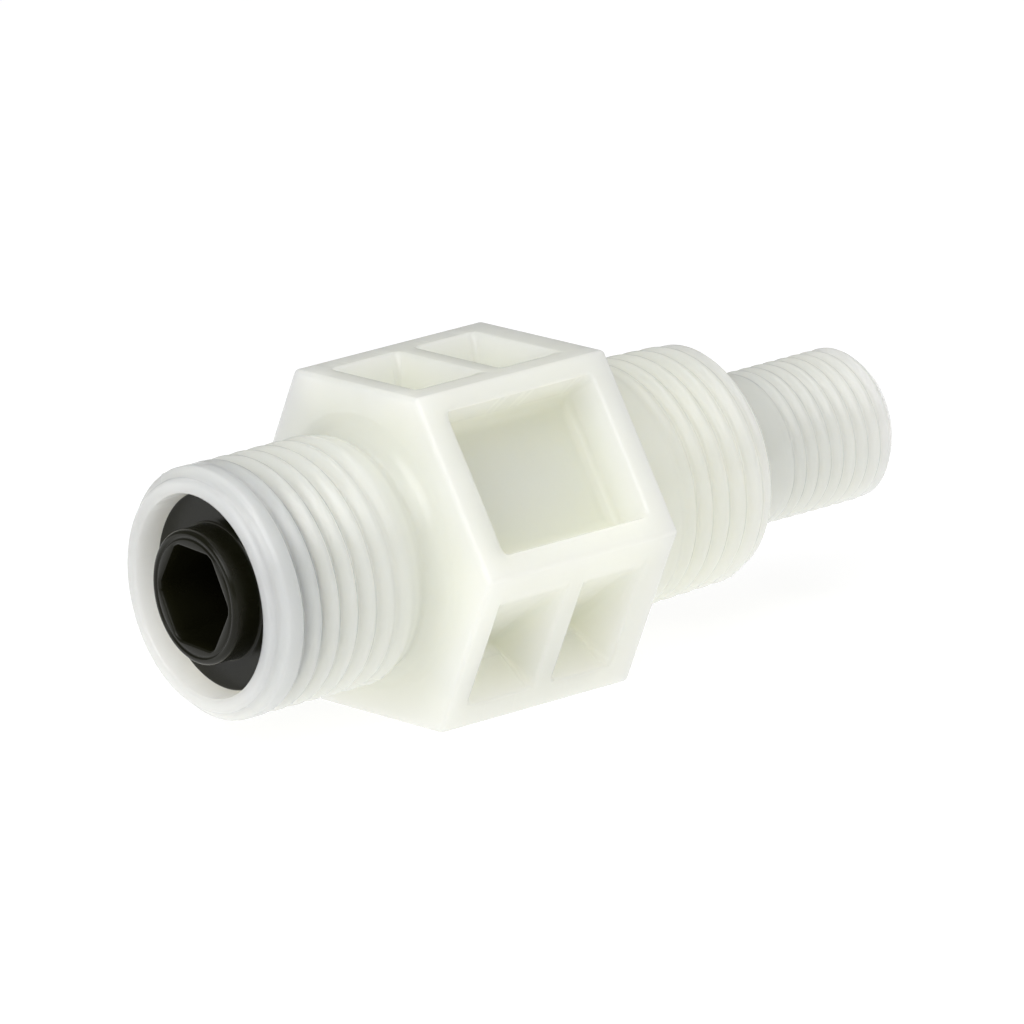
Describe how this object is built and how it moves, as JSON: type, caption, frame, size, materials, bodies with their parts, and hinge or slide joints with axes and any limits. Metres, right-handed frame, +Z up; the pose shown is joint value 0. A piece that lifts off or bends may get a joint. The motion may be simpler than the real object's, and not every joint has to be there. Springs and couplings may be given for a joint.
{
  "type": "thru hull fitting",
  "caption": "Stepped threaded plastic fitting with a cored hexagon and a screwed black seat insert that holds a spring-loaded ball check valve.",
  "frame": {"origin": "middle of the fitting's whole length, on its axis", "axes": "+X along the fitting's axis from the hose end with the black insert to the small tip, +Z up, square to the top flat of the hexagon"},
  "size_m": [0.0688, 0.032, 0.028],
  "materials": {
    "milky_plastic": "natural translucent moulding, soft gloss",
    "black_plastic": "moulded, semi-gloss",
    "black_rubber": "moulded elastomer",
    "white_ceramic": "opaque polished ceramic",
    "spring_steel": "drawn wire"
  },
  "bodies": {
    "body": {"valve_body": "milky_plastic", "return_spring": "spring_steel"},
    "flange_seal": {"retainer_o_ring": "black_rubber"},
    "retainer": {"seat_retainer": "black_plastic", "seat_o_ring": "black_rubber"},
    "ball": {"check_ball": "white_ceramic"}
  },
  "joints": [
    {"name": "retainer_advance", "type": "slide", "parent": "body", "child": "flange_seal", "axis": [-1, 0, 0], "range_m": [0, 0.006]},
    {"name": "retainer_turn", "type": "hinge", "parent": "flange_seal", "child": "retainer", "pos_m": [-0.03, 0, 0], "axis": [-1, 0, 0], "range_deg": [0, 1440]},
    {"name": "ball_slide", "type": "slide", "parent": "body", "child": "ball", "axis": [1, 0, 0], "range_m": [0, 0.0025], "stiffness_N_per_m": 350, "springref_m": -0.004, "deforming": ["return_spring"]}
  ],
  "couplings": [
    {"joint": "retainer_turn", "follows": "retainer_advance", "rad_per_m": 4188.8}
  ]
}
